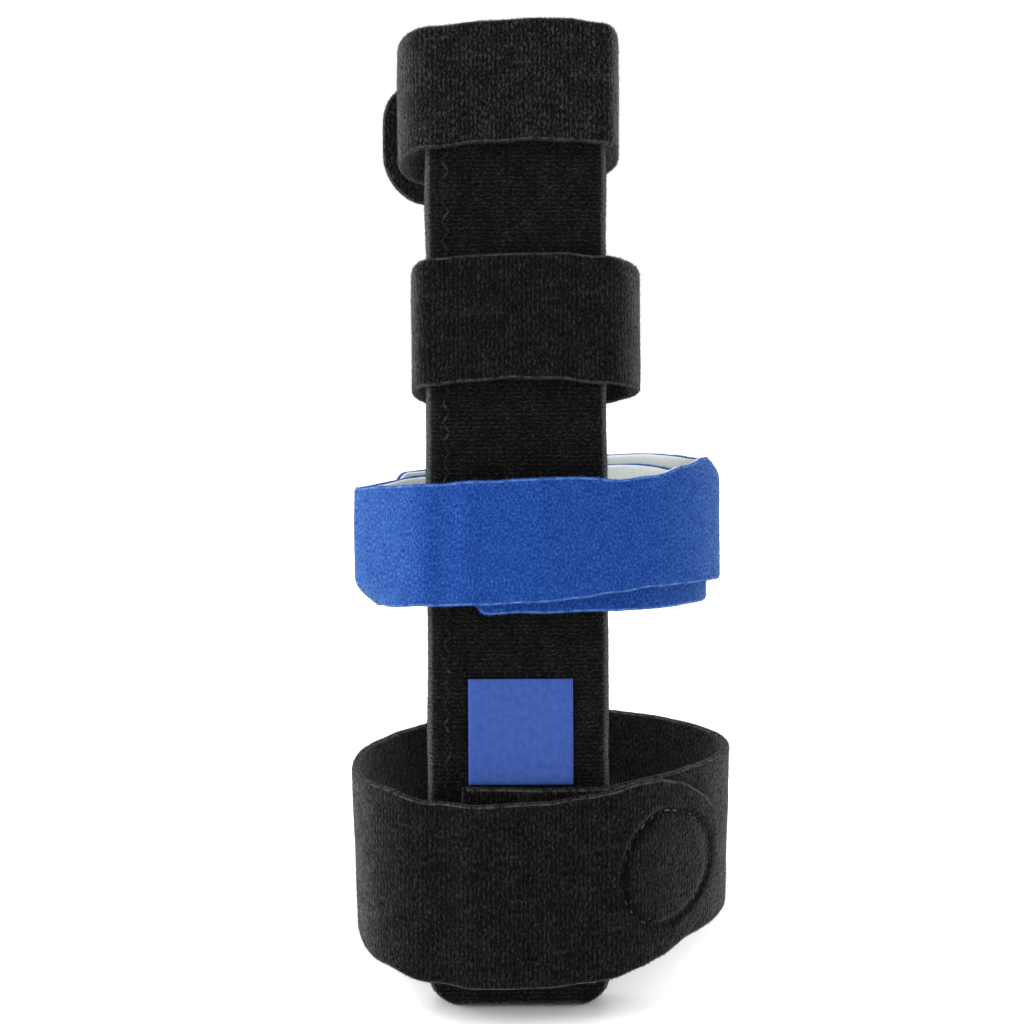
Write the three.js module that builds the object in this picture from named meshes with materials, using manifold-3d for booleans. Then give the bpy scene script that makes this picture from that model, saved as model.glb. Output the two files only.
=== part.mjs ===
// Wrist and finger splint: a padded bar for the palm side of a finger, the hand and the wrist, with two
// finger straps, a hand strap and a wrist strap wound round it and closed on themselves with hook
// patches. Millimetres, +Z up. The splint stands on the bar's lower end and leans back on its wrist
// loop, as it does on a table. Within the leaning group the bar is upright: X to the right, Y to the
// back, Z along the bar, and the bar's front is Y = 0.
import * as THREE from "three";
import { mergeVertices } from "three/addons/utils/BufferGeometryUtils.js";
import Module from "manifold-3d";

const wasm = await Module();
wasm.setup();

// Driving dimensions
const CLEARANCE = 0.3; // between a strap or label and the bar
const PLY_GAP = 0.15; // between the face and the lining of the hand strap
const PATCH = { thick: 0.7, clear: 0.25, margin: 3 }; // hook patch between two layers, inside the strap's edges
const COLUMN = 3; // length of strap between two sections
const END_COLUMNS = 6; // sections in a rounded strap end
const CORNER_SEGMENTS = 7; // of a plate's rounded corner
const MERGED = 1e-3; // vertices closer than this are one
const TAPER_REACH = 15; // depth behind the bar's front at which a tapered strap has its whole taper

const BAR = {
  width: 36,
  thick: 7,
  length: 194.5,
  edge: 2.4, // radius of the padded edges
  edgeSegments: 3,
  cornerX: 10, // half axes of the rounded corners, seen from the front
  cornerZ: 5,
  flattened: 0.5, // how much of the soft lower end the floor presses flat
};

const LABEL = { width: 20.8, height: 21, thick: 0.6, centreX: 0.5, lowZ: 45.1, corner: 0.8 };

const LEAN_DEG = 7.7; // how far the bar leans back

// Straps. A loop is the inner face of the first layer seen from above. It lies flat over the bar between
// its first and last side, and its sides head to the right, back, left, front and right again; before
// and after are the lengths of the handles that bend it there. wind gives, by turns of the loop, how far
// the strap stands off that first layer, how far its lower edge is lifted and how wide it is. From leave
// on, the strap runs straight. sag lowers the back of the loop, and roll raises its right side, in
// millimetres for each millimetre.
const FRONT = -CLEARANCE;
const BEND = BAR.width / 2 - 1.5; // where a strap leaves the flat of the bar's front
const FINGER_STRAP = { width: 25, thick: 1.8, rows: [0, 1] };

const UPPER_FINGER = {
  ...FINGER_STRAP,
  endRadius: 9.5,
  lowZ: 172,
  sag: 0.15,
  roll: 0.02,
  loop: [
    { side: "bar", x: BEND, y: FRONT, after: 2 },
    { side: "right", x: 19.6, y: 11, before: 6, after: 9 },
    { side: "back", x: -1, y: 29, before: 11, after: 11 },
    { side: "left", x: -22.6, y: 12, before: 9, after: 6 },
    { side: "bar", x: -BEND, y: FRONT, before: 3 },
  ],
  start: -0.24,
  leave: 0.64,
  end: 0.862,
  wind: [
    { turn: -0.1, standoff: 0, lift: 0, widen: -0.5 },
    { turn: 0, standoff: 0, lift: -0.3, widen: -0.9 },
    { turn: 0.09, standoff: 0, lift: 0.5, widen: -0.85 },
    { turn: 0.17, standoff: 0, lift: 0.75, widen: -0.8 },
    { turn: 0.22, standoff: 0, lift: 0.4, widen: -0.6 },
    { turn: 0.28, standoff: 0, lift: -0.3, widen: -1 },
    { turn: 0.44, standoff: 0, lift: 0, widen: -1 },
    { turn: 0.62, standoff: 3.1, lift: -0.9, widen: 0.8 },
    { turn: 0.78, standoff: 3.1, lift: -0.9, widen: 1.7 },
    { turn: 0.862, standoff: 3.1, lift: -0.1, widen: 2.8 },
  ],
  patch: { from: 0.645, to: 0.735, radius: 2 },
};

const LOWER_FINGER = {
  ...FINGER_STRAP,
  endRadius: 9,
  lowZ: 125.3,
  sag: 0.19,
  roll: -0.025,
  loop: [
    { side: "bar", x: BEND, y: FRONT, after: 2 },
    { side: "right", x: 19.8, y: 11, before: 6, after: 9 },
    { side: "back", x: 1, y: 29, before: 11, after: 11 },
    { side: "left", x: -24, y: 12, before: 9, after: 6 },
    { side: "bar", x: -BEND, y: FRONT, before: 3 },
  ],
  start: -0.3,
  leave: Infinity,
  end: 0.8,
  wind: [
    { turn: -0.15, standoff: 0, lift: -0.6, widen: 0 },
    { turn: 0, standoff: 0, lift: -1.2, widen: 0.4 },
    { turn: 0.07, standoff: 0, lift: 0.1, widen: 0 },
    { turn: 0.155, standoff: 0, lift: 0.4, widen: -0.2 },
    { turn: 0.22, standoff: 0, lift: 0, widen: 0.1 },
    { turn: 0.275, standoff: 0, lift: -0.6, widen: 0.15 },
    { turn: 0.42, standoff: 0, lift: 0, widen: 0 },
    { turn: 0.6, standoff: 3.1, lift: 0, widen: 0 },
    { turn: 0.8, standoff: 3.1, lift: -0.6, widen: 0 },
  ],
  patch: { from: 0.66, to: 0.77, radius: 2 },
};

const HAND = {
  width: 24.6,
  thick: 1, // of each ply: the velour face and the foam lining
  endRadius: 3,
  rows: [0, 0.12, 0.24, 0.82, 1],
  lowZ: 79,
  sag: 0,
  roll: 0,
  loop: [
    { side: "bar", x: BEND, y: FRONT, after: 12 },
    { side: "right", x: 37.6, y: 15, before: 5, after: 8 },
    { side: "back", x: 6, y: 42, before: 22, after: 20 },
    { side: "left", x: -32, y: 17, before: 6, after: 3 },
    { side: "bar", x: -BEND, y: FRONT, before: 3 },
  ],
  start: 0.045,
  leave: Infinity,
  end: 1.784,
  wind: [
    { turn: 0, standoff: 0, lift: 0, widen: 0 },
    { turn: 0.1, standoff: 0, lift: 0.5, widen: 0 },
    { turn: 0.2, standoff: 0, lift: 0.9, widen: 0 },
    { turn: 0.342, standoff: 0, lift: 1.2, widen: 0 },
    { turn: 0.473, standoff: 0, lift: 3.8, widen: 0 },
    { turn: 0.623, standoff: 0, lift: 3, widen: 0 },
    { turn: 0.744, standoff: 0, lift: 1.6, widen: 0 },
    { turn: 0.865, standoff: 0.4, lift: -0.1, widen: -0.3 },
    { turn: 0.935, standoff: 0.5, lift: 0.9, widen: -0.5 },
    { turn: 1, standoff: 0.7, lift: 2.05, widen: -0.95 },
    { turn: 1.045, standoff: 2.9, lift: 2.5, widen: -0.75 },
    { turn: 1.121, standoff: 4.1, lift: 3.2, widen: -0.85 },
    { turn: 1.161, standoff: 3.9, lift: 3.85, widen: -1.35 },
    { turn: 1.201, standoff: 3.5, lift: 5, widen: -3 },
    { turn: 1.231, standoff: 3.4, lift: 5.7, widen: -3.2 },
    { turn: 1.272, standoff: 3.2, lift: 5.9, widen: -1.5 },
    { turn: 1.312, standoff: 3, lift: 5.85, widen: 0 },
    { turn: 1.362, standoff: 2.7, lift: 5.4, widen: 0 },
    { turn: 1.473, standoff: 3.4, lift: 6.2, widen: 0 },
    { turn: 1.623, standoff: 3.4, lift: 4.6, widen: 0 },
    { turn: 1.784, standoff: 3.4, lift: 2.4, widen: 0 },
  ],
  tucks: [
    { turn: 0.865, reach: 0.05, depth: 4.6, from: 0.24, to: 0 }, // the left fold, its lower corner turned in
    { turn: 1.352, reach: 0.06, depth: 2.4, from: 0.82, to: 1 }, // the upper corner of the right fold
  ],
  patch: { from: 1.644, to: 1.744, radius: 2 },
};

const WRIST = {
  width: 35,
  thick: 2,
  endRadius: 16.5,
  rows: [0, 1],
  lowZ: 9.8,
  sag: 0.01,
  roll: 0,
  taper: 1.2, // how much closer in the lower edge lies than the upper one, away from the bar
  loop: [
    { side: "bar", x: BEND, y: FRONT, after: 5 },
    { side: "right", x: 45.8, y: 35, before: 15, after: 13 },
    { side: "back", x: 5, y: 70.5, before: 23, after: 20 },
    { side: "left", x: -34, y: 28, before: 18, after: 14 },
    { side: "bar", x: -BEND, y: FRONT, before: 8 },
  ],
  start: 0.022,
  leave: Infinity,
  end: 1.262,
  wind: [
    { turn: 0, standoff: 0, lift: 0, widen: 0 },
    { turn: 0.11, standoff: 0, lift: 0, widen: -0.3 },
    { turn: 0.18, standoff: 0, lift: -0.1, widen: 0.5 },
    { turn: 0.26, standoff: 0, lift: -0.6, widen: 0.9 },
    { turn: 0.4, standoff: 0, lift: 0, widen: 1 },
    { turn: 0.84, standoff: 0, lift: -0.6, widen: 0 },
    { turn: 0.965, standoff: 2.6, lift: -0.7, widen: 0.4 },
    { turn: 1, standoff: 3, lift: -2.2, widen: 0.35 },
    { turn: 1.035, standoff: 5, lift: -2.75, widen: 0.7 },
    { turn: 1.09, standoff: 3.9, lift: -3, widen: 1.2 },
    { turn: 1.127, standoff: 3.4, lift: -2.2, widen: 1.55 },
    { turn: 1.16, standoff: 3.4, lift: -0.5, widen: 1.6 },
    { turn: 1.18, standoff: 3.4, lift: 0.2, widen: 0.7 },
    { turn: 1.205, standoff: 3.4, lift: 1.4, widen: -1.9 },
    { turn: 1.23, standoff: 3.4, lift: 1.6, widen: -3.2 },
    { turn: 1.262, standoff: 3.4, lift: 1.5, widen: -2 },
  ],
  patch: { centreToEnd: 16.5, radius: 12 },
};

// Materials
const material = (color, roughness) => new THREE.MeshStandardMaterial({ color, roughness, metalness: 0 });
const BLACK_LOOP = material(0x1e1d1d, 0.95);
const BLACK_KNIT = material(0x191919, 0.95);
const BLUE_VELOUR = material(0x2b57a4, 0.9);
const WHITE_FOAM = material(0xdfe2de, 0.9);
const BLUE_SATIN = material(0x3b56ad, 0.55);
const BLACK_HOOK = material(0x141414, 0.6);

// Solids
function toSolid(geometry) {
  const bare = geometry.clone();
  bare.deleteAttribute("normal");
  bare.deleteAttribute("uv");
  const merged = mergeVertices(bare, MERGED);
  return new wasm.Manifold(
    new wasm.Mesh({
      numProp: 3,
      vertProperties: new Float32Array(merged.attributes.position.array),
      triVerts: new Uint32Array(merged.index.array),
    }),
  );
}

function toGeometry(solid) {
  const mesh = solid.getMesh();
  const geometry = new THREE.BufferGeometry();
  geometry.setAttribute("position", new THREE.BufferAttribute(mesh.vertProperties, 3));
  geometry.setIndex(new THREE.BufferAttribute(mesh.triVerts, 1));
  geometry.computeVertexNormals();
  return geometry;
}

// A plate with its front towards -Y, drawn as a shape in X and Z
function plateGeometry(shape, thick, edge = 0, segments = 1) {
  const geometry = new THREE.ExtrudeGeometry(shape, {
    depth: thick - 2 * edge,
    bevelEnabled: edge > 0,
    bevelThickness: edge,
    bevelSize: edge,
    bevelOffset: -edge,
    bevelSegments: segments,
    curveSegments: CORNER_SEGMENTS,
  });
  geometry.translate(0, 0, edge - thick);
  return geometry.rotateX(Math.PI / 2);
}

function roundedShape(width, height, cornerX, cornerZ) {
  const x = width / 2 - cornerX;
  const shape = new THREE.Shape();
  shape.moveTo(-x, 0);
  shape.lineTo(x, 0);
  shape.absellipse(x, cornerZ, cornerX, cornerZ, -Math.PI / 2, 0, false, 0);
  shape.lineTo(width / 2, height - cornerZ);
  shape.absellipse(x, height - cornerZ, cornerX, cornerZ, 0, Math.PI / 2, false, 0);
  shape.lineTo(-x, height);
  shape.absellipse(-x, height - cornerZ, cornerX, cornerZ, Math.PI / 2, Math.PI, false, 0);
  shape.lineTo(-width / 2, cornerZ);
  shape.absellipse(-x, cornerZ, cornerX, cornerZ, Math.PI, 1.5 * Math.PI, false, 0);
  return shape;
}

// Straps
const HEADINGS = [
  [1, 0],
  [0, 1],
  [-1, 0],
  [0, -1],
  [1, 0],
].map(([x, y]) => new THREE.Vector2(x, y));

function loopPath(loop) {
  const places = loop.map(({ x, y }) => new THREE.Vector2(x, y));
  const path = new THREE.CurvePath();
  path.add(new THREE.LineCurve(places.at(-1), places[0]));
  for (let i = 1; i < loop.length; i++) {
    const leaving = places[i - 1].clone().addScaledVector(HEADINGS[i - 1], loop[i - 1].after);
    const arriving = places[i].clone().addScaledVector(HEADINGS[i], -loop[i].before);
    path.add(new THREE.CubicBezierCurve(places[i - 1], leaving, arriving, places[i]));
  }
  return path;
}

function alongWind(wind, turn, column) {
  const after = wind.findIndex((row) => row.turn >= turn);
  if (after < 0) return wind.at(-1)[column] ?? 0;
  if (after === 0) return wind[0][column] ?? 0;
  const [a, b] = [wind[after - 1], wind[after]];
  const share = THREE.MathUtils.smoothstep(turn, a.turn, b.turn);
  return THREE.MathUtils.lerp(a[column] ?? 0, b[column] ?? 0, share);
}

// The strap's way seen from above: the point on its inner face, the way out of the loop, the height of
// its lower edge, its width, and how deep its loop lies behind the bar's front there
function strapRoute(strap) {
  const path = loopPath(strap.loop);
  const round = path.getLength();
  const at = (turn) => {
    const held = Math.min(turn, strap.leave);
    const share = held - Math.floor(held);
    const ahead = path.getTangent(share);
    const out = new THREE.Vector2(ahead.y, -ahead.x);
    const foot = path.getPoint(share);
    const depth = foot.y;
    foot.addScaledVector(out, alongWind(strap.wind, turn, "standoff"));
    foot.addScaledVector(ahead, (turn - held) * round);
    const slope = strap.roll * foot.x - strap.sag * Math.max(foot.y, 0);
    const low = strap.lowZ + alongWind(strap.wind, turn, "lift") + slope;
    return { foot, out, low, depth, wide: strap.width + alongWind(strap.wind, turn, "widen") };
  };
  return { at, round };
}

// How far in a strap lies at this row: 0 is its lower edge and 1 its upper edge
function drawnIn(strap, turn, row, depth) {
  const taper = (strap.taper ?? 0) * (1 - row) * THREE.MathUtils.smoothstep(depth, 0, TAPER_REACH);
  const tucks = (strap.tucks ?? []).map((tuck) => {
    const beside = Math.exp(-(((turn - tuck.turn) / tuck.reach) ** 2));
    const share = THREE.MathUtils.clamp((row - tuck.from) / (tuck.to - tuck.from), 0, 1);
    return tuck.depth * beside * share ** 2;
  });
  return tucks.reduce((sum, tuck) => sum + tuck, taper);
}

// A closed wall: point(column, row, side) with side 0 on the inner face and 1 on the outer face
function wallGeometry(columns, rows, point) {
  const position = [];
  const index = [];
  const id = (i, j, side) => (i * rows + j) * 2 + side;
  const quad = (a, b, c, d) => index.push(a, b, c, a, c, d);
  for (let i = 0; i < columns; i++)
    for (let j = 0; j < rows; j++)
      for (const side of [0, 1]) position.push(...point(i, j, side));
  const [lastColumn, top] = [columns - 1, rows - 1];
  for (let i = 0; i < lastColumn; i++) {
    for (let j = 0; j < top; j++) {
      quad(id(i, j, 1), id(i + 1, j, 1), id(i + 1, j + 1, 1), id(i, j + 1, 1));
      quad(id(i, j, 0), id(i, j + 1, 0), id(i + 1, j + 1, 0), id(i + 1, j, 0));
    }
    quad(id(i, 0, 1), id(i, 0, 0), id(i + 1, 0, 0), id(i + 1, 0, 1));
    quad(id(i, top, 0), id(i, top, 1), id(i + 1, top, 1), id(i + 1, top, 0));
  }
  for (let j = 0; j < top; j++) {
    quad(id(0, j, 0), id(0, j, 1), id(0, j + 1, 1), id(0, j + 1, 0));
    quad(id(lastColumn, j, 1), id(lastColumn, j, 0), id(lastColumn, j + 1, 0), id(lastColumn, j + 1, 1));
  }
  const geometry = new THREE.BufferGeometry();
  geometry.setAttribute("position", new THREE.Float32BufferAttribute(position, 3));
  geometry.setIndex(index);
  geometry.computeVertexNormals();
  return geometry;
}

// How much a rounded end takes off each edge of a strip, this far from the end
const roundedTrim = (radius, toEnd) =>
  toEnd >= radius ? 0 : radius - Math.sqrt(radius ** 2 - (radius - toEnd) ** 2);

// The places along a strip from one distance to another, closer together where an end is rounded
function stations(length, startRadius, endRadius) {
  const rounded = (radius) =>
    Array.from({ length: END_COLUMNS }, (_, i) => radius * (1 - Math.cos((i / END_COLUMNS) * (Math.PI / 2))));
  const middle = length - startRadius - endRadius;
  const steps = Math.max(1, Math.round(middle / COLUMN));
  const straight = Array.from({ length: steps + 1 }, (_, i) => startRadius + (middle * i) / steps);
  const first = startRadius > 0 ? rounded(startRadius) : [];
  const last = endRadius > 0 ? rounded(endRadius).reverse() : [];
  return [...first, ...straight, ...last.map((fromEnd) => length - fromEnd)];
}

// A strip along the strap's route, as wide as the strap unless it has a width of its own. A round
// strip's tip keeps a short flat.
function stripGeometry(strap, { from, to, width, thick, offset, startRadius = 0, endRadius = 0 }) {
  const route = strapRoute(strap);
  const length = (to - from) * route.round;
  const places = stations(length, startRadius, endRadius);
  const mostTrim = 0.98;
  const corner = (i, j, side) => {
    const turn = from + places[i] / route.round;
    const { foot, out, low, wide, depth } = route.at(turn);
    const own = width ?? wide;
    const rounding = Math.max(roundedTrim(startRadius, places[i]), roundedTrim(endRadius, length - places[i]));
    const trim = Math.min(rounding, (own / 2) * mostTrim);
    const height = (wide - own) / 2 + trim + strap.rows[j] * (own - 2 * trim);
    const away = offset + side * thick - drawnIn(strap, turn, height / wide, depth);
    const place = foot.clone().addScaledVector(out, away);
    return [place.x, place.y, low + height];
  };
  return wallGeometry(places.length, strap.rows.length, corner);
}

function strapGeometry(strap, offset = 0) {
  const { start: from, end: to, thick, endRadius } = strap;
  return stripGeometry(strap, { from, to, thick, offset, endRadius });
}

// A hook patch on the inner face of the strap's end, clear of the layer that it grips
function patchGeometry(strap, { from, to, width, radius }) {
  const plain = { ...strap, rows: [0, 1], tucks: [] };
  const offset = -PATCH.clear - PATCH.thick;
  const rounded = { startRadius: radius, endRadius: radius };
  return stripGeometry(plain, { from, to, width, thick: PATCH.thick, offset, ...rounded });
}

function straightPatch(strap) {
  return patchGeometry(strap, { ...strap.patch, width: strap.width - 2 * PATCH.margin });
}

function roundPatch(strap) {
  const { round } = strapRoute(strap);
  const { centreToEnd, radius } = strap.patch;
  const centre = strap.end - centreToEnd / round;
  const reach = radius / round;
  return patchGeometry(strap, { from: centre - reach, to: centre + reach, width: 2 * radius, radius });
}

// The leaning splint
const splint = new THREE.Group();
splint.rotation.x = -THREE.MathUtils.degToRad(LEAN_DEG);
splint.updateMatrix();

function piece(name, geometry, look) {
  const mesh = new THREE.Mesh(geometry, look);
  mesh.name = name;
  splint.add(mesh);
  return mesh;
}

// What the floor presses flat: the block under it, in the leaning group's own frame
function floorBlock(level) {
  const size = 400;
  const block = new THREE.BoxGeometry(size, size, size).translate(0, 0, level - size / 2);
  return toSolid(block.applyMatrix4(splint.matrix.clone().invert()));
}

const pressedFlat = (geometry, level) => toGeometry(toSolid(geometry).subtract(floorBlock(level)));

const barShape = roundedShape(BAR.width, BAR.length, BAR.cornerX, BAR.cornerZ);
const barGeometry = plateGeometry(barShape, BAR.thick, BAR.edge, BAR.edgeSegments);
// The back of its lower end is lowest when it leans
const barLowest = -BAR.thick * Math.sin(THREE.MathUtils.degToRad(LEAN_DEG));
const floorLevel = barLowest + BAR.flattened;

piece("padded_bar", pressedFlat(barGeometry, floorLevel), BLACK_KNIT);

const labelShape = roundedShape(LABEL.width, LABEL.height, LABEL.corner, LABEL.corner);
piece("label", plateGeometry(labelShape, LABEL.thick), BLUE_SATIN).position.set(
  LABEL.centreX,
  -CLEARANCE - LABEL.thick,
  LABEL.lowZ,
);

piece("upper_finger_strap", strapGeometry(UPPER_FINGER), BLACK_LOOP);
piece("upper_finger_hook", straightPatch(UPPER_FINGER), BLACK_HOOK);

// The lower finger strap closes on the right, so it is the same build mirrored
piece("lower_finger_strap", strapGeometry(LOWER_FINGER), BLACK_LOOP).scale.x = -1;
piece("lower_finger_hook", straightPatch(LOWER_FINGER), BLACK_HOOK).scale.x = -1;

piece("hand_strap_lining", strapGeometry(HAND), WHITE_FOAM);
piece("hand_strap_face", strapGeometry(HAND, HAND.thick + PLY_GAP), BLUE_VELOUR);
piece("hand_hook", straightPatch(HAND), BLACK_HOOK);

piece("wrist_strap", pressedFlat(strapGeometry(WRIST), floorLevel), BLACK_LOOP);
piece("wrist_hook", roundPatch(WRIST), BLACK_HOOK);

// The origin is on the floor, under the middle of the whole splint
const part = new THREE.Group();
part.add(splint);
const box = new THREE.Box3().setFromObject(part, true);
const middle = box.getCenter(new THREE.Vector3());
splint.position.set(-middle.x, -middle.y, -floorLevel);

export default part;
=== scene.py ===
# %% [markdown]
# # A wrist and finger splint
# The splint is a flat padded bar with four straps wound round it: two for a finger, one for the hand
# and one for the wrist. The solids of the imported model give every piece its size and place. This script
# dresses them: each strap is cut flat, given its thickness and rounded edges, wound round its loop as a
# maker would wind it, and then covered with its pile. It starts by loading the solids and keeping their
# box.

# %% The frame that the pieces are dressed on
import math
from collections import namedtuple

import bmesh
import bpy
import numpy as np
from mathutils import Matrix, Vector, noise
from mathutils.geometry import interpolate_bezier


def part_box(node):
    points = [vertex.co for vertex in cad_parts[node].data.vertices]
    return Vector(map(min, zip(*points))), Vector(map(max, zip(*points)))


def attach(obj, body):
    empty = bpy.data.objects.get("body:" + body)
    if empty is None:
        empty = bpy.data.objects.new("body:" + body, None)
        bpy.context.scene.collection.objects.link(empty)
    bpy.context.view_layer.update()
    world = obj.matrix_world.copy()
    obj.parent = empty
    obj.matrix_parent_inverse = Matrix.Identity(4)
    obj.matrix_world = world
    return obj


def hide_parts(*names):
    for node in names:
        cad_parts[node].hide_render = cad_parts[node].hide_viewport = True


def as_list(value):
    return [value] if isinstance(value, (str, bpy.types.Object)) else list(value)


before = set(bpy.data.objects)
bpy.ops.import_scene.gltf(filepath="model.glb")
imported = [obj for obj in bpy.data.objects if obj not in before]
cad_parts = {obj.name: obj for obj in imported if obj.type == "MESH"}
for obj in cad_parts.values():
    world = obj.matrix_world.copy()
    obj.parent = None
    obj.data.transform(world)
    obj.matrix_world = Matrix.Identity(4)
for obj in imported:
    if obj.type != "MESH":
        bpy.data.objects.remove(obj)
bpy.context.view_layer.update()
print("solids:", sorted(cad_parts))

# %% [markdown]
# The bar leans back on its wrist loop, but it is easier to think of it as upright. So every piece is
# measured in millimetres with the bar upright, X to the right, Y to the back and Z along the bar, and
# one matrix then leans it, turns millimetres to metres and puts it where the solids are. The label is a
# plain plate, so two of its corners tell where the leaning bar's own origin has gone.

# %% From the upright bar to the leaning one
MM = 0.001
LEAN = math.radians(7.7)
CLEARANCE = 0.3  # between the bar's front and what is sewn on it, in millimetres
BAR = {"width": 36.0, "thick": 7.0, "length": 194.5, "edge": 2.4, "corner_x": 10.0, "corner_z": 5.0}
LABEL = {"width": 20.8, "height": 21.0, "thick": 0.6, "centre_x": 0.5, "low_z": 45.1}

stand = Matrix.Rotation(-LEAN, 4, "X") @ Matrix.Scale(MM, 4)
label_low, label_high = (Vector(corner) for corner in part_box("label"))
front_corner = stand @ Vector((0, -CLEARANCE - LABEL["thick"], LABEL["low_z"]))
back_corner = stand @ Vector((0, -CLEARANCE, LABEL["low_z"]))
stand.translation = (
    (label_low.x + label_high.x) / 2 - LABEL["centre_x"] * MM,
    label_low.y - front_corner.y,
    label_low.z - back_corner.z,
)
print("the bar's own origin, in millimetres:", [round(c / MM, 2) for c in stand.translation])

# %% [markdown]
# Each piece is built as a bmesh in those upright millimetres. One function then does the same for all
# of them: it leans the mesh, presses flat what would go through the floor, gives it its finish, and
# hides the solid that it stands for.

# %% From a bmesh to a piece


def finish_piece(name, bm, materials, node):
    """Leans a bmesh that is in upright millimetres, presses it flat on the floor and makes it a piece."""
    bm.transform(stand)
    for v in bm.verts:
        v.co.z = max(v.co.z, 0.0)
    mesh = bpy.data.meshes.new(name)
    bm.to_mesh(mesh)
    bm.free()
    mesh.polygons.foreach_set("use_smooth", [True] * len(mesh.polygons))
    for material in materials:
        mesh.materials.append(material)
    piece = bpy.data.objects.new(name, mesh)
    bpy.context.collection.objects.link(piece)
    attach(piece, "root")
    if node:
        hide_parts(node)
    print(name, len(mesh.polygons), "faces")
    return piece


# %% [markdown]
# Each finish is a node tree on the Principled shader. Four small functions serve them all: one turns an
# sRGB hex colour, as read off a colour chart, into the linear numbers that Blender works with, one
# feeds a node's sockets, one adds a node, and one starts a cloth-like finish. The straps carry a UV map
# in metres along and across the cloth, so a loop of pile that is 1 mm high is 1 mm high on every strap,
# and it follows the strap round its bends.

# %% Helpers for the finishes
CLOTH_SHINE = 0.05  # cloth has next to no mirror-like shine, only its sheen


def linear(hex_colour):
    """An sRGB hex colour as the linear colour of a shader socket."""
    parts = [int(hex_colour[i : i + 2], 16) / 255 for i in (1, 3, 5)]
    return [c / 12.92 if c <= 0.04045 else ((c + 0.055) / 1.055) ** 2.4 for c in parts] + [1.0]


def feed(tree, node, **sockets):
    """Gives sockets a number, a colour, an output, or a node for its first one; _2 is socket number 2."""
    for key, value in sockets.items():
        socket = node.inputs[int(key[1:])] if key[0] == "_" else node.inputs[key.replace("_", " ")]
        if isinstance(value, bpy.types.Node):
            value = value.outputs[0]
        if isinstance(value, bpy.types.NodeSocket):
            tree.links.new(value, socket)
        else:
            socket.default_value = value


def add(tree, kind, settings=None, stops=(), **sockets):
    """A node with its settings, its sockets, and the (place, hex colour) stops of a colour ramp."""
    node = tree.nodes.new(kind)
    for key, value in (settings or {}).items():
        setattr(node, key, value)
    feed(tree, node, **sockets)
    for _ in stops[2:]:  # a new ramp has two stops already
        node.color_ramp.elements.new(0.5)
    for i, (place, colour) in enumerate(stops):
        node.color_ramp.elements[i].position = place
        node.color_ramp.elements[i].color = linear(colour)
    return node


def new_finish(name, roughness, sheen, sheen_tint, sheen_roughness=0.3):
    """A material with its Principled shader, a cloth-like sheen and nothing else yet."""
    material = bpy.data.materials.new(name)
    material.use_nodes = True
    tree = material.node_tree
    shader = tree.nodes["Principled BSDF"]
    feed(tree, shader, Roughness=roughness, Specular_IOR_Level=CLOTH_SHINE, Sheen_Weight=sheen)
    feed(tree, shader, Sheen_Roughness=sheen_roughness, Sheen_Tint=linear(sheen_tint))
    return material, tree, shader


# %% [markdown]
# The black straps are loop fabric: a knitted nylon ground with a raised pile of small loops, laid on
# thin foam. The loops are about half a millimetre wide and a millimetre high, they stand in columns,
# and brushing has pushed them about. A wave gives the columns, a fine noise pushes them aside, and a
# second noise, stretched to the shape of a loop, gives each loop its own brightness. The bar's knit is
# the same yarn in flat ribs that run across it, so it is the same finish with wide, low loops. The
# lower finger strap and the wrist strap get a darker copy of the same finish, painted shade for the
# weaker light that reaches them lower down. A thin broken line along each edge is paler: partly the
# cut yarn of a strap and the stretched knit of the bar, partly a painted highlight where the rounded
# rim turns to the side lights. Where the wrist strap's ring is stitched, the pile is pressed down and
# painted darker, as painted shade in its groove.

# %% Black loop fabric and ribbed knit
PALE_LINE = 0.72  # where the paler line lies, from 0 inside the rim to 1 at the very edge
WAVE_UNIT = 0.314  # a wave texture of scale 1 repeats after this length
BRUSHED = {"size": 1.3 * MM, "push": 0.9 * MM, "patches": 4 * MM}
PILE_HEIGHT = 0.25 * MM


def pale_yarn_and_rim_highlight(tree, uv, strength, gaps_mm):
    """The pale rim line, from 0 to strength, broken by small gaps: paler cut or stretched yarn
    and a painted highlight where the rounded rim turns to the side.
    """
    rim = add(tree, "ShaderNodeAttribute", {"attribute_name": "rim"}).outputs["Fac"]
    beside = add(tree, "ShaderNodeMath", {"operation": "SUBTRACT"}, _0=rim, _1=PALE_LINE)
    apart = add(tree, "ShaderNodeMath", {"operation": "ABSOLUTE"}, _0=beside)
    line = add(
        tree, "ShaderNodeMapRange", {"interpolation_type": "SMOOTHSTEP"},
        Value=apart, From_Min=0.24, From_Max=0.04, To_Max=strength,
    )
    broken = add(
        tree, "ShaderNodeTexNoise", {"noise_dimensions": "2D"},
        Vector=uv, Scale=1 / (gaps_mm * MM), Detail=3.0,
    )
    gaps = add(tree, "ShaderNodeMapRange", Value=broken, From_Min=0.3, From_Max=0.65)
    return add(tree, "ShaderNodeMath", {"operation": "MULTIPLY"}, _0=line, _1=gaps)


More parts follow.
